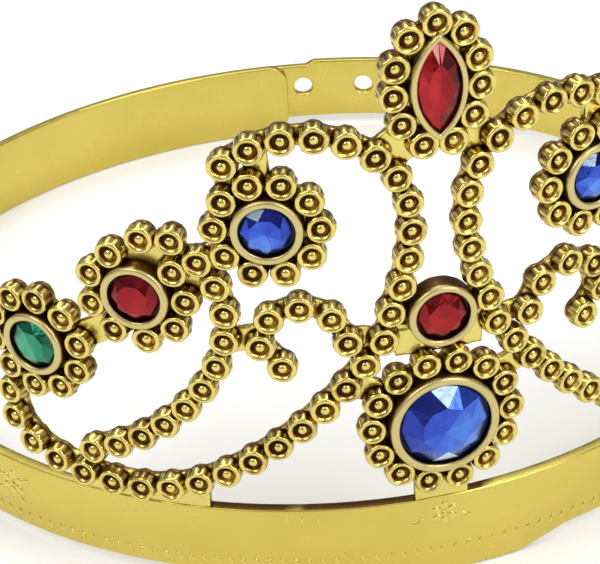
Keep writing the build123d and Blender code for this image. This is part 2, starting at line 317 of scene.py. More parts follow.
def antique_gold(name, gold, deep, rough, painted):
    """Plated plastic whose hollows hold brown antiquing, with painted shade on some sides: the mesh
    says where, noise breaks it up.
    """
    material, nodes, links, shader = new_material(name)
    # antique brown and painted shade, where the mesh says
    where = attribute_node(nodes, "paint_and_shade")
    blotches = noise_node(nodes, links, 900.0, 4.0)
    streaks = noise_node(nodes, links, 230.0, 2.0)
    spread = math_node(nodes, links, "MULTIPLY_ADD", blotches.outputs["Fac"], 0.72, -0.34)
    wide = math_node(nodes, links, "MULTIPLY_ADD", streaks.outputs["Fac"], 0.4, -0.2)
    mask = math_node(nodes, links, "ADD", where.outputs["Fac"], spread)
    mask = math_node(nodes, links, "ADD", mask, wide)
    mask = math_node(nodes, links, "MULTIPLY", mask, painted)
    colour = ramp_node(nodes, links, mask, [(0.18, gold), (0.5, deep), (0.9, (0.055, 0.020, 0.004))])
    links.new(colour.outputs["Color"], shader.inputs["Base Color"])
    metal = ramp_node(nodes, links, mask, [(0.5, grey(1.0)), (0.95, grey(0.78))])
    links.new(metal.outputs["Color"], shader.inputs["Metallic"])
    gloss = ramp_node(nodes, links, mask, [(0.1, grey(rough)), (0.9, grey(0.36))])
    links.new(gloss.outputs["Color"], shader.inputs["Roughness"])
    grain = noise_node(nodes, links, 1500.0, 3.0)
    links.new(bump_node(nodes, links, grain.outputs["Fac"], 0.16, 0.00025), shader.inputs["Normal"])
    return material


def band_gold():
    """Smooth satin plating over moulded plastic: faint flow marks, hairlines and dull patches.

    Brown antiquing and painted shade lie in the angle along its top, where the mesh says."""
    material, nodes, links, shader = new_material("plated_band")
    shader.inputs["Metallic"].default_value = 1.0
    cloud = noise_node(nodes, links, 28.0, 3.0)
    colour = ramp_node(nodes, links, cloud.outputs["Fac"],
                       [(0.3, (0.617, 0.497, 0.102)), (0.7, (0.69, 0.57, 0.137))])
    # brown antiquing and painted shade along the band's top, where the mesh says
    where = attribute_node(nodes, "paint_and_shade")
    patches = noise_node(nodes, links, 300.0, 3.0)
    spread = math_node(nodes, links, "MULTIPLY_ADD", patches.outputs["Fac"], 0.5, -0.25)
    mask = math_node(nodes, links, "ADD", where.outputs["Fac"], spread)
    share = ramp_node(nodes, links, mask, [(0.25, grey(0.0)), (0.75, grey(1.0))])
    mix = nodes.new("ShaderNodeMixRGB")
    links.new(share.outputs["Color"], mix.inputs["Fac"])
    links.new(colour.outputs["Color"], mix.inputs["Color1"])
    mix.inputs["Color2"].default_value = (0.085, 0.036, 0.008, 1)
    links.new(mix.outputs["Color"], shader.inputs["Base Color"])
    dull = noise_node(nodes, links, 160.0, 5.0)
    gloss = ramp_node(nodes, links, dull.outputs["Fac"], [(0.3, grey(0.25)), (0.75, grey(0.36))])
    links.new(gloss.outputs["Color"], shader.inputs["Roughness"])
    flow = noise_node(nodes, links, 75.0, 2.0)
    grain = noise_node(nodes, links, 1700.0, 3.0)
    normal = bump_node(nodes, links, flow.outputs["Fac"], 0.2, 0.0006)
    normal = bump_node(nodes, links, grain.outputs["Fac"], 0.10, 0.0001, normal)
    links.new(normal, shader.inputs["Normal"])
    return material


def foiled_stone(name, deep, body, light, pale):
    """A clear tinted stone over foil: a glassy coat over facets, each with a foil tilt and a shade of
    its colour that carries painted shade and painted highlights.
    """
    material, nodes, links, shader = new_material(name)
    shader.inputs["Metallic"].default_value = 0.9
    shader.inputs["Roughness"].default_value = 0.2
    shader.inputs["Coat Weight"].default_value = 0.32
    shader.inputs["Coat Roughness"].default_value = 0.03
    shader.inputs["Coat IOR"].default_value = 1.5
    # each facet's tone, with its painted shade and painted highlights
    tone_and_shading = attribute_node(nodes, "tone_and_shading")
    cloud = noise_node(nodes, links, 420.0, 2.0)
    drift = math_node(nodes, links, "MULTIPLY_ADD", cloud.outputs["Fac"], 0.22, -0.11)
    shade = math_node(nodes, links, "ADD", tone_and_shading.outputs["Fac"], drift)
    black = tuple(0.05 * part for part in deep)
    colour = ramp_node(nodes, links, shade,
                       [(0.0, black), (0.16, deep), (0.5, body), (0.78, light), (1.0, pale)])
    links.new(colour.outputs["Color"], shader.inputs["Base Color"])
    foil = attribute_node(nodes, "foil")
    fine = noise_node(nodes, links, 700.0, 2.0)
    normal = bump_node(nodes, links, fine.outputs["Fac"], 0.25, 0.0003, foil.outputs["Vector"])
    links.new(normal, shader.inputs["Normal"])
    return material


BAND = band_gold()
RELIEF = antique_gold("band_relief", (0.71, 0.58, 0.145), (0.36, 0.24, 0.05), 0.26, 0.7)
TIARA = antique_gold("antiqued_tiara", (0.71, 0.60, 0.165), (0.28, 0.15, 0.03), 0.24, 1.0)
BEADS = antique_gold("antiqued_beads", (0.74, 0.60, 0.175), (0.28, 0.145, 0.03), 0.24, 1.0)
COLLETS = antique_gold("satin_collets", (0.60, 0.495, 0.21), (0.26, 0.14, 0.035), 0.34, 1.0)
BLUE = foiled_stone("blue_stone", (0.008, 0.010, 0.20), (0.03, 0.085, 0.56), (0.12, 0.30, 0.82),
                    (0.66, 0.85, 0.97))
RED = foiled_stone("red_stone", (0.05, 0.001, 0.003), (0.26, 0.003, 0.006), (0.46, 0.016, 0.022),
                   (0.90, 0.50, 0.50))
GREEN = foiled_stone("green_stone", (0.003, 0.05, 0.03), (0.02, 0.25, 0.13), (0.15, 0.50, 0.33),
                     (0.70, 0.92, 0.80))
STONES = {"blue": BLUE, "red": RED, "green": GREEN}


# --- beads -------------------------------------------------------------------------------
# From the sheet up the wall, over the rim, into the hollow and up the pearl. Each step is its
# radius, how far out it is, its paint, and the depth of the flutes there, in mm.
BEAD_PROFILE = [
    (2.45, -0.40, 0.95, 0.10),
    (2.62, -0.05, 0.74, 0.20),
    (2.70, 0.25, 0.32, 0.30),
    (2.70, 0.60, 0.15, 0.33),
    (2.67, 1.00, 0.12, 0.33),
    (2.62, 1.35, 0.12, 0.28),
    (2.56, 1.65, 0.10, 0.19),
    (2.50, 1.85, 0.07, 0.09),
    (2.41, 2.02, 0.04, 0.02),
    (2.28, 2.13, 0.07, 0.00),
    (2.12, 2.18, 0.06, 0.00),
    (1.94, 2.15, 0.11, 0.00),
    (1.77, 2.06, 0.18, 0.00),
    (1.61, 1.93, 0.30, 0.00),
    (1.49, 1.74, 0.56, 0.00),
    (1.41, 1.50, 0.80, 0.00),
    (1.33, 1.33, 0.88, 0.00),
    (1.23, 1.23, 0.90, 0.00),
    (1.10, 1.20, 0.88, 0.00),
    (1.01, 1.24, 0.78, 0.00),
    (0.95, 1.36, 0.50, 0.00),
    (0.89, 1.52, 0.20, 0.00),
    (0.78, 1.72, 0.06, 0.00),
    (0.62, 1.88, 0.00, 0.00),
    (0.42, 1.98, 0.00, 0.00),
    (0.21, 2.03, 0.00, 0.00),
]
BEAD_TOP = 2.04
BEAD_SIDES = 50
BEAD_FLUTES = 10
VALLEY_PAINT = 1.4           # paint for each mm of a flute's depth
HOLLOW_REACH = 1.7           # inside this radius, down to the pearl, painted shade darkens one side
PEARL_REACH = 1.0
SHADED_SIDE_AT = math.radians(135)   # the upper left, the side of the hollow in painted shade
# how much painted shade darkens that side
SIDE_SHADE = 0.3


def add_bead(shape, s, z):
    """A cup with a fluted wall and a soft rim, a painted hollow darker on its upper left as painted
    shade, and a pearl, none quite round.
    """
    along, up, outward = axes_at(s)
    origin = on_band(s, z)
    spin = random.uniform(0, 2 * math.pi)
    size = random.uniform(0.985, 1.015) * MM
    lobes = [(n, random.uniform(0, 2 * math.pi), random.uniform(0.2, 1.0) * 0.016) for n in (2, 3, 5)]
    strayed = (random.uniform(-0.1, 0.1), random.uniform(-0.1, 0.1))
    wiped = random.uniform(-0.14, 0.12)
    points = []
    paint_and_shade = []
    for radius, out, shade, fluting in BEAD_PROFILE:
        inward = max(0.0, 1 - radius / PEARL_REACH) ** 0.5
        for k in range(BEAD_SIDES):
            turn = 2 * math.pi * k / BEAD_SIDES
            valley = (0.5 - 0.5 * math.cos(BEAD_FLUTES * turn + spin)) ** 2
            uneven = 1 + sum(depth * math.sin(n * turn + phase) for n, phase, depth in lobes)
            reach = (radius - fluting * valley) * uneven
            across = reach * math.cos(turn) + strayed[0] * inward
            rise = reach * math.sin(turn) + strayed[1] * inward
            points.append(origin + (along * across + up * rise + outward * out) * size)
            darkening = shade + VALLEY_PAINT * fluting * valley + wiped
            # painted shade on the upper-left side of the hollow
            if PEARL_REACH < radius < HOLLOW_REACH:
                darkening += SIDE_SHADE * math.cos(turn - SHADED_SIDE_AT)
            paint_and_shade.append(darkening)
    points.append(origin + (along * strayed[0] + up * strayed[1] + outward * BEAD_TOP) * size)
    paint_and_shade.append(0.0)
    shape.add(points, rings_to_faces(len(BEAD_PROFILE), BEAD_SIDES, True), paint_and_shade)


def make_beads(node):
    """All the bead cups of one row or wreath."""
    shape = Shape()
    for s, z in bead_places(node):
        add_bead(shape, s, z)
    piece = shape.piece(f"{node}_cups", BEADS)
    return dress(piece, node)


def dress(piece, node, body="crown"):
    """The piece rides on a body and stands for a CAD node."""
    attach(piece, body)
    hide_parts(node)
    return piece


# --- collets, in mm: their wall outside the stone, their height and their lip over the stone ---
GREAT_COLLET = dict(wall=0.6, height=3.2, lip=0.95)
RED_COLLET = dict(wall=0.9, height=3.0, lip=0.38)
SMALL_COLLET = dict(wall=1.0, height=2.8, lip=0.38)


def collet_profile(radius, wall, height, lip):
    """(radius, out, paint) steps in mm of a smooth raised rim, over its lip and down to the stone."""
    return [
        (radius + wall + 0.12, -0.4, 1.0),
        (radius + wall + 0.10, 0.1, 1.0),
        (radius + wall + 0.04, 0.6, 0.9),
        (radius + wall, height - 1.1, 0.75),
        (radius + wall, height - 0.55, 0.3),
        (radius + wall - 0.08, height - 0.25, 0.05),
        (radius + wall - 0.26, height - 0.06, 0.0),
        (radius + wall - 0.5, height, 0.02),
        (radius - lip + 0.36, height - 0.02, 0.05),
        (radius - lip + 0.18, height - 0.09, 0.1),
        (radius - lip + 0.05, height - 0.22, 0.3),
        (radius - lip, height - 0.42, 0.8),
        (radius - lip + 0.02, height - 0.8, 1.0),
    ]


def make_round_collet(node, radius, wall, height, lip):
    count = 96
    profile = collet_profile(radius / MM, wall, height, lip)
    points, paint_and_shade = turned(profile, count)
    s, z = middle_of(node)
    shape = Shape()
    shape.add(put_at(points, s, z), rings_to_faces(len(profile), count, False), paint_and_shade)
    piece = shape.piece(f"{node}_rim", COLLETS)
    return dress(piece, node)


def almond_ring(offset, steps):
    """Points (across, up) round the pointed oval, grown by an offset, in metres."""
    width, length = marquise_half
    bend = (width**2 + length**2) / (2 * width)
    radius = bend + offset
    half_turn = math.acos((bend - width) / radius)
    ring = []
    for side in (1, -1):
        for k in range(steps):
            turn = side * (-half_turn + 2 * half_turn * k / steps)
            across = radius * math.cos(turn) - (bend - width)
            ring.append((side * across, radius * math.sin(turn)))
    return ring


def make_marquise_collet(node):
    """The pointed oval's rim, from (offset from the stone, out, paint) steps in mm."""
    steps = 44
    profile = [
        (0.50, -0.4, 1.0), (0.50, 0.2, 0.85), (0.46, 1.2, 0.5), (0.45, 2.2, 0.2), (0.42, 2.7, 0.05),
        (0.28, 2.97, 0.0), (0.08, 3.04, 0.0), (-0.30, 3.04, 0.02), (-0.46, 2.98, 0.1),
        (-0.58, 2.84, 0.3), (-0.63, 2.6, 0.8), (-0.61, 2.3, 1.0),
    ]
    points = []
    paint_and_shade = []
    for offset, out, shade in profile:
        ring = almond_ring(offset * MM, steps)
        points += [(x, y, out * MM) for x, y in ring]
        paint_and_shade += [shade] * len(ring)
    s, z = middle_of(node)
    shape = Shape()
    shape.add(put_at(points, s, z), rings_to_faces(len(profile), 2 * steps, False), paint_and_shade)
    piece = shape.piece(f"{node}_rim", COLLETS)
    return dress(piece, node)


# --- the pierced sheet -------------------------------------------------------------------
BEAD_SKIRT, BEAD_CREASE = 2.6 * MM, 0.6 * MM     # paint fills a crease this wide round a bead
RIM_CREASE = 0.8 * MM
BACK_FROM, WALL_FROM = -1.15 * MM, -0.25 * MM    # how far in the sheet's back and walls begin
SHEET_VOXEL, SHEET_ROUNDS = 0.26 * MM, 5


def moulded(node, name, voxel, rounds):
    """A copy of a CAD node's shape with its edges softened, as moulding leaves them."""
    mesh = bmesh.new()
    mesh.from_mesh(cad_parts[node].data)
    bmesh.ops.remove_doubles(mesh, verts=mesh.verts, dist=1e-6)
    data = bpy.data.meshes.new(name)
    mesh.to_mesh(data)
    mesh.free()
    rough = bpy.data.objects.new(f"{name}_rough", data)
    bpy.context.scene.collection.objects.link(rough)
    remesh = rough.modifiers.new("remesh", "REMESH")
    remesh.mode = "VOXEL"
    remesh.voxel_size = voxel
    smooth = rough.modifiers.new("smooth", "SMOOTH")
    smooth.factor = 0.5
    smooth.iterations = rounds
    depsgraph = bpy.context.evaluated_depsgraph_get()
    final = bpy.data.meshes.new_from_object(rough.evaluated_get(depsgraph))
    bpy.data.objects.remove(rough)
    final.name = name
    final.materials.clear()
    final.shade_smooth()
    return final


def shaded_above(across, up, least):
    """Painted shade, darker above what it lies against: 1 right above it, down to the least right
    below.
    """
    turn = math.atan2(up, across)
    return (1 + least) / 2 + (1 - least) / 2 * math.sin(turn)


def crevice_paint_and_shade(mesh, beads, rims):
    """Paints the corners round beads and rims, darker above each as painted shade, and the sheet's
    walls a little; its back is clean.
    """
    paint_and_shade = []
    for vertex in mesh.vertices:
        s, z, out = place_of(vertex.co)
        (bead_s, bead_z, _), _, gap = beads.find((s, z, 0))
        shade = 1.0 - (gap - BEAD_SKIRT) / BEAD_CREASE
        # painted shade: the crease is darkest right above a bead or rim
        shade = min(1.0, shade) * shaded_above(s - bead_s, z - bead_z, 0.45)
        for rim_s, rim_z, radius in rims:
            past = math.hypot(s - rim_s, z - rim_z) - radius
            near = min(1.0, 1.0 - past / RIM_CREASE)
            shade = max(shade, near * shaded_above(s - rim_s, z - rim_z, 0.3))
        shade = min(1.0, max(0.0, shade))
        if out < BACK_FROM:
            shade = 0.05
        elif out < WALL_FROM:
            shade = 0.28 + 0.25 * shade
        paint_and_shade.append(shade)
    attribute = mesh.attributes.new("paint_and_shade", "FLOAT", "POINT")
    attribute.data.foreach_set("value", paint_and_shade)


def make_sheet(node, beads, rims):
    """The sheet of one row or medallion, painted where it meets what stands on it, with painted shade
    above it.
    """
    mesh = moulded(node, f"{node}_sheet", SHEET_VOXEL, SHEET_ROUNDS)
    crevice_paint_and_shade(mesh, beads, rims)
    mesh.materials.append(TIARA)
    piece = bpy.data.objects.new(f"{node}_sheet", mesh)
    bpy.context.scene.collection.objects.link(piece)
    return dress(piece, node)


# --- the band ----------------------------------------------------------------------------
def arc(centre, radius, start, end, count):
    """Points on an arc in the ring's plan, between two angles in degrees, ends included."""
    turns = [math.radians(start + (end - start) * k / count) for k in range(count + 1)]
    return [Vector((centre[0] + radius * math.cos(a), centre[1] + radius * math.sin(a))) for a in turns]


def side_line(front_reach, back_y, reach, side, count):
    """The arc over one ear, from the end of the front half to the start of the back arc."""
    outer = back_radius - ring_radius
    outer_x = (back_y**2 - outer**2) / (2 * outer)
    meet_turn = math.atan2(-back_y, outer_x)
    meet = (reach * math.cos(meet_turn), back_y + reach * math.sin(meet_turn))
    centre_x = (meet[0] ** 2 + meet[1] ** 2 - front_reach**2) / (2 * (meet[0] - front_reach))
    end = math.degrees(math.atan2(meet[1], meet[0] - centre_x))
    points = arc((centre_x, 0), front_reach - centre_x, 0, end, count)
    return [Vector((side * p.x, p.y)) for p in points], math.degrees(meet_turn)


def band_stations():
    """Pairs of outer and inner points in plan, from the left strap's root round to the right one's."""
    lines = []
    for front, back in ((ring_radius, back_radius),
                        (ring_radius - band_thickness, back_radius - strap_thickness)):
        left, left_turn = side_line(front, inner_back_y, back, -1, 34)
        right, right_turn = side_line(front, outer_back_y, back, 1, 34)
        back_left = arc((0, inner_back_y), back, 90 - inner_root, 180 - left_turn, 30)
        middle = arc((0, 0), front, 180, 360, 150)
        back_right = arc((0, outer_back_y), back, right_turn, 90 - outer_root, 24)
        lines.append(back_left[:-1] + left[::-1][:-1] + middle[:-1] + right[:-1] + back_right)
    return list(zip(*lines))


def edge_height(x, y):
    """Height of the band's lower edge at a point in plan."""
    start, full = front_ramp if y < 0 else back_ramp
    lift = (abs(x) - start) / (full - start)
    if y > 0 and x > 0:
        lift = 1.0
    return ear_rise * min(1.0, max(0.0, lift))


def section(low, high, depth, bend=edge_round):
    """Rounded rectangle as (inwards, height) points, going round from its upper outer corner."""
    points = []
    corners = [(bend, high - bend, 180, 90), (depth - bend, high - bend, 90, 0),
               (depth - bend, low + bend, 0, -90), (bend, low + bend, -90, -180)]
    steps = SECTION_POINTS // len(corners) - 1
    for inwards, height, start, end in corners:
        for k in range(steps + 1):
            a = math.radians(start + (end - start) * k / steps)
            points.append((inwards + bend * math.cos(a), height + bend * math.sin(a)))
    return points


def top_paint_and_shade(x, y):
    """How much brown antiquing and painted shade lie on the outer and the inner part of the band's top.

    It is dark beside the feet, paler, to a tan, between the left and the middle one, and soon ends
    to either side."""
    s = math.atan2(x, -y) * ring_radius / MM
    paler = PALER * max(0.0, 1 - abs(s - PALER_MIDDLE) / PALER_REACH)
    past = max(0.0, DARK_STRETCH[0] - s, s - DARK_STRETCH[1])
    share = max(0.0, 1 - past / DARK_FADE)
    return share * (1 - paler), INNER_SHADE + (1 - INNER_SHADE - paler) * share


def tube_faces(rings, count):
    """The faces of a tube of rings of points, with both ends closed."""
    last = (rings - 1) * count
    start = list(range(count))
    end = [last + k for k in range(count)][::-1]
    return rings_to_faces(rings, count, False) + [start, end]


def make_band():
    """The moulded ring, from one strap's root round the front to the other's."""
    shape = Shape()
    stations = band_stations()
    points = []
    paint_and_shade = []
    for outer, inner in stations:
        # brown antiquing and painted shade on the band's top
        near, far = top_paint_and_shade(outer.x, outer.y)
        shades = [0.0] * SECTION_POINTS
        for k in OUTER_TOP:
            shades[k] = near
        for k in INNER_TOP:
            shades[k] = far
        paint_and_shade += shades
        inwards = inner - outer
        depth = inwards.length
        inwards.normalize()
        for reach, height in section(edge_height(outer.x, outer.y), band_top, depth):
            spot = outer + inwards * reach
            points.append((spot.x, spot.y + ring_y, height))
    faces = [face[::-1] for face in tube_faces(len(stations), SECTION_POINTS)]
    shape.add(points, faces, paint_and_shade)
    piece = shape.piece("band_ring", BAND)
    piece.data.set_sharp_from_angle(angle=SHARP)
    return dress(piece, "head_band")


def strap_steps(length):
    """Distances from the root to the sections of a strap, closer together in its rounded end."""
    plain_steps, corner_steps, edge_steps = 140, 14, 6
    straight = length - tip_corner
    plain = [straight * k / plain_steps for k in range(plain_steps)]
    corner = [straight + (tip_corner - edge_round) * math.sin(math.radians(90 * k / corner_steps))
              for k in range(corner_steps)]
    last = [length - edge_round + edge_round * math.sin(math.radians(90 * k / edge_steps))
            for k in range(edge_steps + 1)]
    return plain + corner + last


def at_back(centre_y, turn):
    """The outside of the back arc at the height of the holes, and unit vectors out and along."""
    out = Vector((math.sin(turn), math.cos(turn), 0))
    along = Vector((math.cos(turn), -math.sin(turn), 0))
    return Vector((0, ring_y + centre_y, hole_height)) + out * back_radius, out, along


def round_plug(centre_y, turn, profile, count):
    """Rings of points across the strap, from (radius, out) steps in mm."""
    middle, out, along = at_back(centre_y, turn)
    points = []
    for radius, reach in profile:
        for k in range(count):
            a = 2 * math.pi * k / count
            points.append(middle + out * reach * MM + along * radius * MM * math.cos(a)
                          + Vector((0, 0, radius * MM * math.sin(a))))
    return points


def hole_cutter(centre_y, angles):
    """Round plugs across the strap, flared where they leave its two faces."""
    count = 48
    hole = hole_radius / MM
    flare = hole + 0.22
    clear = flare + 0.6
    soft = hole + 0.06
    profile = [(clear, 0.6), (flare, 0.0), (soft, -0.16), (hole, -0.3),
               (hole, -1.3), (soft, -1.44), (flare, -1.6), (clear, -2.2)]
    shape = Shape()
    for angle in angles:
        points = round_plug(centre_y, math.radians(angle), profile, count)
        faces = rings_to_faces(len(profile), count, False)
        faces.append(list(range(count))[::-1])
        faces.append([(len(profile) - 1) * count + k for k in range(count)])
        shape.add(points, faces, [0.0] * len(points))
    return shape.piece("cutter", BAND)


def face_outwards(mesh):
    """Turns every face of a closed mesh outwards."""
    work = bmesh.new()
    work.from_mesh(mesh)
    bmesh.ops.recalc_face_normals(work, faces=work.faces)
    work.to_mesh(mesh)
    work.free()


def cut_holes(piece, centre_y, angles):
    """Cuts the round holes through a strap."""
    cutter = hole_cutter(centre_y, angles)
    face_outwards(cutter.data)
    cut = piece.modifiers.new("holes", "BOOLEAN")
    cut.operation = "DIFFERENCE"
    cut.solver = "EXACT"
    cut.object = cutter
    depsgraph = bpy.context.evaluated_depsgraph_get()
    piece.data = bpy.data.meshes.new_from_object(piece.evaluated_get(depsgraph))
    piece.modifiers.clear()
    bpy.data.objects.remove(cutter)


def rounded_in(radius, left):
    """How far a rounded end of this radius draws in, with this much of the strap left."""
    return radius - math.sqrt(max(0.0, radius**2 - max(0.0, radius - left) ** 2))


def make_strap(node, name, centre_y, root, tip, low, high_at, holes, bend_length):
    """A strap from its root to its rounded free end, with its holes cut through."""
    start, end = math.radians(root), math.radians(tip)
    length = abs(end - start) * back_radius
    depth = strap_thickness
    points = []
    steps = strap_steps(length)
    for gone in steps:
        left = length - gone
        inset = rounded_in(edge_round, left)
        drop = rounded_in(tip_corner, left)
        turn = start + (end - start) * gone / length
        out = Vector((math.sin(turn), math.cos(turn), 0))
        middle = Vector((0, ring_y + centre_y, 0))
        rise = low + drop + inset
        fall = high_at(turn) - drop - inset
        for reach, height in section(rise, fall, depth - 2 * inset, edge_round - inset):
            points.append(middle + out * (back_radius - inset - reach) + Vector((0, 0, height)))
    shape = Shape()
    shape.add(points, tube_faces(len(steps), SECTION_POINTS), [0.0] * len(points))
    piece = shape.piece(name, BAND)
    face_outwards(piece.data)
    if holes:
        cut_holes(piece, centre_y, holes)
    piece.data.shade_smooth()
    piece.data.set_sharp_from_angle(angle=SHARP)
    bend = bend_length * math.copysign(1, end - start) / back_radius
    for turn in (start, start + bend):
        reach = back_radius - depth / 2
    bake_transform(piece)
    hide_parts(node)
    return piece


def outer_top(turn):
    """Height of the outer strap's top edge: lower on its tongue, past a soft shoulder."""
    past = (math.radians(shoulder_angle) - turn) * back_radius / shoulder_length
    share = min(1.0, max(0.0, past + 0.5))
    return band_top - shoulder_drop * share * share * (3 - 2 * share)


def make_straps():
    make_strap("inner_strap", "inner_strap_skin", inner_back_y, inner_root, inner_tip, 0.0,
               lambda turn: band_top, (), inner_bend)
    make_strap("outer_strap", "outer_strap_skin", outer_back_y, outer_root, outer_tip, ear_rise,
               outer_top, hole_angles, outer_bend)


def make_pegs():
    """Two round pegs on the inner strap, with domed ends and a small fillet where they stand."""
    profile = [(1.75, -0.1), (1.62, 0.05), (1.45, 0.2), (1.40, 0.5), (1.40, 1.55), (1.36, 1.8),
               (1.22, 2.02), (0.95, 2.14), (0.5, 2.19)]
    height = 2.2 * MM
    count = 40
    shape = Shape()
    for angle in hole_angles[:2]:
        turn = math.radians(angle)
        foot, out, _ = at_back(inner_back_y, turn)
        points = round_plug(inner_back_y, turn, profile, count)
        points.append(foot + out * height)
        faces = [face[::-1] for face in rings_to_faces(len(profile), count, True)]
        faces.append(list(range(count)))
        shape.add(points, faces, [0.0] * len(points))
    piece = shape.piece("peg_pair", BAND)
    face_outwards(piece.data)
    return dress(piece, "closure_pegs", "inner_strap")


# --- relief moulded on the band ----------------------------------------------------------
RELIEF_SINK = 0.06 * MM      # the edge of a leaf lies this far under the band's surface
EDGING_PITCH, EDGING_EACH_WAY, EDGING_HEIGHT = 2.35 * MM, 36, 5.0 * MM
EDGING_LEAF = (1.0 * MM, 0.42 * MM, 0.28 * MM)   # half length, half width and height
SPRIG_LEAF = (1.3 * MM, 0.5 * MM, 0.25 * MM)
SPRAY_LEAF = (1.2 * MM, 0.45 * MM, 0.25 * MM)
NICK = (0.75 * MM, 0.3 * MM, 0.22 * MM)
SPRAY_AT = 81.0 * MM         # the flowers at the sides, round the band from the front


def leaf(shape, s, z, size, slant, vein=0.45):
    """A small raised leaf lying on the band, its vein pressed in; its size is as EDGING_LEAF's."""
    half_length, half_width, height = size
    count, rings = 28, 7
    a = math.radians(slant)
    points = []
    paint_and_shade = []
    for ring in range(rings + 1):
        share = 1.0 - ring / rings
        for k in range(count):
            turn = 2 * math.pi * k / count
            x = half_length * share * math.cos(turn)
            y = half_width * share * math.sin(turn) * abs(math.sin(turn)) ** 0.35
            lift = height * math.sqrt(max(0.0, 1 - share**2)) - RELIEF_SINK
            lift -= vein * height * math.exp(-(y / (0.22 * half_width)) ** 2) * (1 - share**2)
            across = x * math.cos(a) - y * math.sin(a)
            rise = x * math.sin(a) + y * math.cos(a)
            points.append(on_band(s + across, z + rise, lift))
            paint_and_shade.append(0.3 * share**6)
    faces = rings_to_faces(rings + 1, count, False)
    shape.add(points, faces, paint_and_shade)


def flower(shape, s, z, radius):
    """Six petals round a small boss."""
    petals, height = 6, 0.3 * MM
    petal = (0.42 * radius, 0.30 * radius, height)
    for k in range(petals):
        turn = 360 * k / petals + 90
        a = math.radians(turn)
        reach = 0.62 * radius
        leaf(shape, s + reach * math.cos(a), z + reach * math.sin(a), petal, turn, 0.2)
    leaf(shape, s, z, (0.2 * radius, 0.2 * radius, 1.3 * height), 0, 0.0)


def make_relief():
    """The edging low on the band, a flower in front, one at each side, and three nicks."""
    shape = Shape()
    for k in range(-EDGING_EACH_WAY, EDGING_EACH_WAY + 1):
        leaf(shape, k * EDGING_PITCH, EDGING_HEIGHT, EDGING_LEAF, 62 if k >= 0 else 118)
    flower(shape, 0.4 * MM, 12.6 * MM, 2.6 * MM)
    for side in (-1, 1):
        leaf(shape, side * 4.4 * MM, 11.4 * MM, SPRIG_LEAF, -side * 28)
        flower(shape, side * SPRAY_AT, 10.6 * MM, 2.9 * MM)
        for turn in (35, 80, 145, 215, 300):
            a = math.radians(turn)
            leaf(shape, side * SPRAY_AT + 4.1 * MM * math.cos(a), 10.4 * MM + 3.2 * MM * math.sin(a),
                 SPRAY_LEAF, turn)
    for s, slant in ((-27.2, 120), (-24.5, 70), (-21.8, 85)):
        leaf(shape, s * MM, 14.3 * MM, NICK, slant)
    piece = shape.piece("band_relief", RELIEF)
    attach(piece, "crown")
    return piece


# --- stones ------------------------------------------------------------------------------
# A stone, in mm: its radius, how far out its girdle is, its crown, the shares of its table and of
# the girdle that its collet's lip leaves in view, and its corners. The pointed stone has its
# outline from marquise_half, not from a radius.
GREAT_CUT = dict(radius=9.0, seat=2.6, crown=1.9, table=0.5, edge=0.845, corners=10)
RED_CUT = dict(radius=5.0, seat=2.4, crown=0.9, table=0.55, edge=0.85, corners=8)
SMALL_CUT = dict(radius=5.0, seat=2.2, crown=0.9, table=0.55, edge=0.85, corners=8)
MARQUISE_CUT = dict(radius=0.0, seat=2.3, crown=1.1, table=0.5, edge=0.93, corners=12)
BED_DEPTH = 0.5              # the dark bed, a painted shadow that shows round a stone, lies this far under its girdle
DARK_TONE, TABLE_TONE, CROWN_TONE = -0.1, 0.54, 0.44   # how pale, before its painted shade
TABLE_SHADING = 0.65         # the table's part of the stone's contrast in painted shade
TABLE_CHANCE, CROWN_CHANCE = 0.25, 0.4
FOIL_TILT = 0.3              # how unevenly the foil lies, times the contrast
# How each side stone looks: the compass turn of its side in painted shade, its contrast, and its
# flashes, painted highlights given as the turn and the tone of each facet that catches the light.
SIDE_STONES = {
    "blue": (70, 0.2, ((130, 0.95),)),
    "red": (110, 0.1, ()),
    "green": (20, 0.12, ((250, 0.85),)),
}


def round_outline(turn, share, radius):
    """A point at a turn in degrees and a share of the girdle."""
    a = math.radians(turn)
    return share * radius * math.cos(a), share * radius * math.sin(a)


def almond_outline(turn, share, _):
    """Corners on the pointed oval: its tips are at 90 and 270 degrees."""
    width, length = (half / MM for half in marquise_half)
    bend = (width**2 + length**2) / (2 * width)
    up = length * math.sin(math.radians(turn))
    across = math.sqrt(bend**2 - up**2) - (bend - width)
    return share * math.copysign(across, math.cos(math.radians(turn))), share * up


def height_on(corners, x, y):
    """Height at (x, y) of the plane through three corners."""
    a, b, c = (Vector(corner) for corner in corners)
    normal = (b - a).cross(c - a)
    return a.z - (normal.x * (x - a.x) + normal.y * (y - a.y)) / normal.z


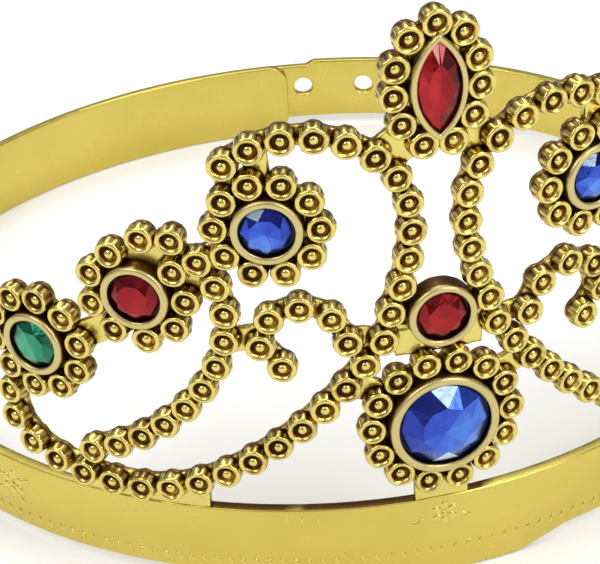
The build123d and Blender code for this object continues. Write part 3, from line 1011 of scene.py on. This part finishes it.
def facets_of(outline, radius, seat, crown, table, edge, corners):
    """The stone's facets as (points, compass turn, kind), with its dark wall and bed, which are painted
    shadow.
    """
    step = 360 / corners
    arc_steps = 6
    high = [(*outline(k * step, edge, radius), seat) for k in range(corners)]
    top = [(*outline((k + 0.5) * step, table, radius), seat + crown) for k in range(corners)]
    facets = []
    rim = []
    for k in range(corners):
        after = (k + 1) % corners
        plane = (high[k], high[after], top[k])
        base = [high[k]]
        for j in range(1, arc_steps):
            x, y = outline((k + j / arc_steps) * step, edge, radius)
            base.append((x, y, height_on(plane, x, y)))
        rim += base
        facets.append((base + [high[after], top[k]], (k + 0.5) * step, "edge"))
        facets.append(([top[k], high[after], top[after]], (k + 1) * step, "belt"))
        centre = (0, 0, seat + crown)
        facets.append(([centre, top[k], top[after]], (k + 1) * step, "table"))
    low = [(x, y, seat - BED_DEPTH) for x, y, _ in rim]
    count = len(rim)
    outer = [(*outline(360 * k / count, 1.0, radius), seat - BED_DEPTH) for k in range(count)]
    # the dark wall and bed: painted shadow round the stone
    for k in range(count):
        after = (k + 1) % count
        facets.append(([low[k], low[after], rim[after], rim[k]], 0, "dark"))
        facets.append(([outer[k], outer[after], low[after], low[k]], 0, "dark"))
    return facets


def tone_and_shading_of(kind, fade, contrast):
    """How pale a facet is, with painted shade and a little chance in it; fade is 1 on the stone's
    darker side, the side in painted shade.
    """
    # the wall and bed are near black, as painted shadow
    if kind == "dark":
        return DARK_TONE
    if kind == "table":
        chance = random.uniform(-TABLE_CHANCE, TABLE_CHANCE)
        return TABLE_TONE - TABLE_SHADING * contrast * fade + chance * contrast
    chance = random.uniform(-CROWN_CHANCE, CROWN_CHANCE)
    return CROWN_TONE - contrast * fade + chance * contrast


def set_stone(node, colour, outline, cut, darker, contrast, flashes):
    """A faceted stone: its colour darkens towards one side as painted shade, and a facet or two flashes
    pale as a painted highlight.
    """
    s, z = middle_of(node)
    outward = axes_at(s)[2]
    half_facet = 180 / cut["corners"]
    points = []
    faces = []
    tones_and_shading = []
    foils = []
    for polygon, turn, kind in facets_of(outline, **cut):
        placed = put_at([(x * MM, y * MM, out * MM) for x, y, out in polygon], s, z)
        faces.append(list(range(len(points), len(points) + len(placed))))
        points += placed
        normal = (placed[1] - placed[0]).cross(placed[-1] - placed[0]).normalized()
        tone_and_shading = tone_and_shading_of(kind, math.cos(math.radians(turn - darker)), contrast)
        tilt = Vector([random.uniform(-1, 1) for _ in range(3)]) * FOIL_TILT * contrast
        if kind == "edge":
            # painted highlight: a facet that catches the light is made pale
            for flash, flash_tone in flashes:
                if abs((turn - flash + 180) % 360 - 180) <= half_facet:
                    tone_and_shading = flash_tone
                    normal = (normal + outward).normalized()
        tones_and_shading.append(tone_and_shading)
        foils.append((normal + tilt).normalized())
    mesh = bpy.data.meshes.new(f"{node}_facets")
    mesh.from_pydata([tuple(p) for p in points], [], faces)
    mesh.attributes.new("tone_and_shading", "FLOAT", "FACE").data.foreach_set("value", tones_and_shading)
    flat = [part for foil in foils for part in foil]
    mesh.attributes.new("foil", "FLOAT_VECTOR", "FACE").data.foreach_set("vector", flat)
    mesh.materials.append(STONES[colour])
    piece = bpy.data.objects.new(f"{node}_facets", mesh)
    bpy.context.scene.collection.objects.link(piece)
    return dress(piece, node)


def set_stones():
    # each stone's side in painted shade, its contrast, and its painted highlights
    set_stone("centre_blue_stone", "blue", round_outline, GREAT_CUT, 140, 0.22,
              ((81, 0.98), (261, 0.94)))
    set_stone("centre_red_stone", "red", round_outline, RED_CUT, 60, 0.12, ())
    set_stone("marquise_stone", "red", almond_outline, MARQUISE_CUT, 10, 0.2,
              ((75, 0.84), (105, 0.88)))
    for side in SIDES:
        for colour in MEDALLIONS:
            set_stone(f"{side}_{colour}_stone", colour, round_outline, SMALL_CUT, *SIDE_STONES[colour])


# --- build -------------------------------------------------------------------------------
def make_all_beads():
    """Every bead cup, and a tree of their places."""
    nodes = ["centre_blue_beads", "marquise_beads"]
    for side in SIDES:
        nodes += [f"{side}_{row}_beads" for row in ROWS]
        nodes += [f"{side}_{stone}_beads" for stone in MEDALLIONS]
    places = []
    for node in nodes:
        make_beads(node)
        places += bead_places(node)
    tree = kdtree.KDTree(len(places))
    for k, (s, z) in enumerate(places):
        tree.insert((s, z, 0), k)
    tree.balance()
    return tree


def make_collets():
    """Every collet, and the (s, z, radius) of the foot of each round one."""
    collets = [("centre_blue_collet", great_stone, GREAT_COLLET),
               ("centre_red_collet", round_stone, RED_COLLET)]
    for side in SIDES:
        collets += [(f"{side}_{stone}_collet", round_stone, SMALL_COLLET) for stone in MEDALLIONS]
    rims = []
    for node, radius, sizes in collets:
        make_round_collet(node, radius, **sizes)
        rims.append((*middle_of(node), radius + sizes["wall"] * MM))
    make_marquise_collet("marquise_collet")
    return rims


def build_tiara():
    beads = make_all_beads()
    rims = make_collets()
    plates = ["centre_blue_plate", "centre_red_plate", "marquise_plate"]
    for side in SIDES:
        plates += [f"{side}_{part}_plate" for part in ROWS + MEDALLIONS]
    for node in plates:
        make_sheet(node, beads, rims)


def build_band():
    make_band()
    make_straps()
    make_pegs()
    make_relief()


# --- studio ------------------------------------------------------------------------------
FLOOR_REACH = 3.0
FLOOR_GAP = 0.2 * MM         # below what stands on it
FLOOR_GLOW = 0.13
SKY = [(0.0, 0.22), (0.3, 0.30), (0.6, 0.55), (1.0, 0.68)]   # brightness from below to above
# Each softbox: compass turn and height in degrees, distance, size in metres, and power.
SOFTBOXES = {
    "key_left": (-62, 46, 0.95, (0.34, 0.55), 2.8),
    "key_right": (36, 44, 0.95, (0.34, 0.55), 2.8),
    "low_front": (24.4, 13.2, 0.9, (0.16, 0.16), 0.9),
    "rear_top": (170, 60, 0.95, (0.5, 0.3), 1.8),
}
VIEW_AZIMUTH, VIEW_ELEVATION, VIEW_ROLL = -13.52, 32.68, -2.63   # degrees
VIEW_DISTANCE = 0.56095
VIEW_HEIGHT = 2.6 * MM       # of the point on the ring's axis that the camera looks at
SENSOR, LENS = 36.0, 166.7
SHIFT = (-0.0238, 0.0330)


def make_floor():
    """A plain pale floor, a little bright of itself so that shadows stay light."""
    mesh = bpy.data.meshes.new("floor")
    low, high = -FLOOR_REACH, FLOOR_REACH
    mesh.from_pydata([(low, low, 0), (high, low, 0), (high, high, 0), (low, high, 0)],
                     [], [[0, 1, 2, 3]])
    shader = new_material("pale_floor")[3]
    shader.inputs["Base Color"].default_value = (0.9, 0.9, 0.9, 1)
    shader.inputs["Roughness"].default_value = 0.9
    shader.inputs["Emission Color"].default_value = (1, 1, 1, 1)
    shader.inputs["Emission Strength"].default_value = FLOOR_GLOW
    mesh.materials.append(bpy.data.materials["pale_floor"])
    floor = bpy.data.objects.new("floor", mesh)
    floor.location.z = cad_box[0].z - FLOOR_GAP
    bpy.context.scene.collection.objects.link(floor)


def make_sky():
    """A soft grey room, paler above."""
    world = bpy.data.worlds.new("studio")
    bpy.context.scene.world = world
    world.use_nodes = True
    nodes = world.node_tree.nodes
    links = world.node_tree.links
    where = nodes.new("ShaderNodeTexCoord")
    split = nodes.new("ShaderNodeSeparateXYZ")
    links.new(where.outputs["Generated"], split.inputs["Vector"])
    ramp = ramp_node(nodes, links, split.outputs["Z"], [(at, grey(value)) for at, value in SKY])
    links.new(ramp.outputs["Color"], nodes["Background"].inputs["Color"])


def direction(azimuth, elevation):
    """A unit vector from the object towards a compass point in front, in degrees, and a height."""
    a, e = math.radians(azimuth), math.radians(elevation)
    return Vector((math.sin(a) * math.cos(e), -math.cos(a) * math.cos(e), math.sin(e)))


def softbox(name, azimuth, elevation, distance, size, power):
    light = bpy.data.lights.new(name, "AREA")
    light.shape = "RECTANGLE"
    light.size, light.size_y = size
    light.energy = power
    lamp = bpy.data.objects.new(name, light)
    towards = direction(azimuth, elevation)
    middle = (cad_box[0] + cad_box[1]) / 2
    lamp.location = middle + towards * distance
    lamp.rotation_euler = towards.to_track_quat("Z", "Y").to_euler()
    bpy.context.scene.collection.objects.link(lamp)


def studio():
    make_floor()
    make_sky()
    for name, sizes in SOFTBOXES.items():
        softbox(name, *sizes)


def camera():
    """The view: from a little left of the front and above, through a long lens."""
    turn, roll = math.radians(VIEW_AZIMUTH), math.radians(VIEW_ROLL)
    aim = Vector((0, ring_y, VIEW_HEIGHT))
    back = direction(VIEW_AZIMUTH, VIEW_ELEVATION)
    right = Vector((math.cos(turn), math.sin(turn), 0))
    up = back.cross(right)
    image_right = math.cos(roll) * right + math.sin(roll) * up
    image_up = math.cos(roll) * up - math.sin(roll) * right
    data = bpy.data.cameras.new("camera")
    data.sensor_width = SENSOR
    data.lens = LENS
    data.shift_x, data.shift_y = SHIFT
    data.clip_start = 0.01
    data.clip_end = 20.0
    eye = bpy.data.objects.new("camera", data)
    facing = Matrix((image_right, image_up, back)).transposed()
    eye.matrix_world = Matrix.Translation(aim + back * VIEW_DISTANCE) @ facing.to_4x4()
    bpy.context.scene.collection.objects.link(eye)
    bpy.context.scene.camera = eye


camera()
build_tiara()
set_stones()
build_band()
studio()
bpy.context.scene.view_settings.view_transform = "Standard"
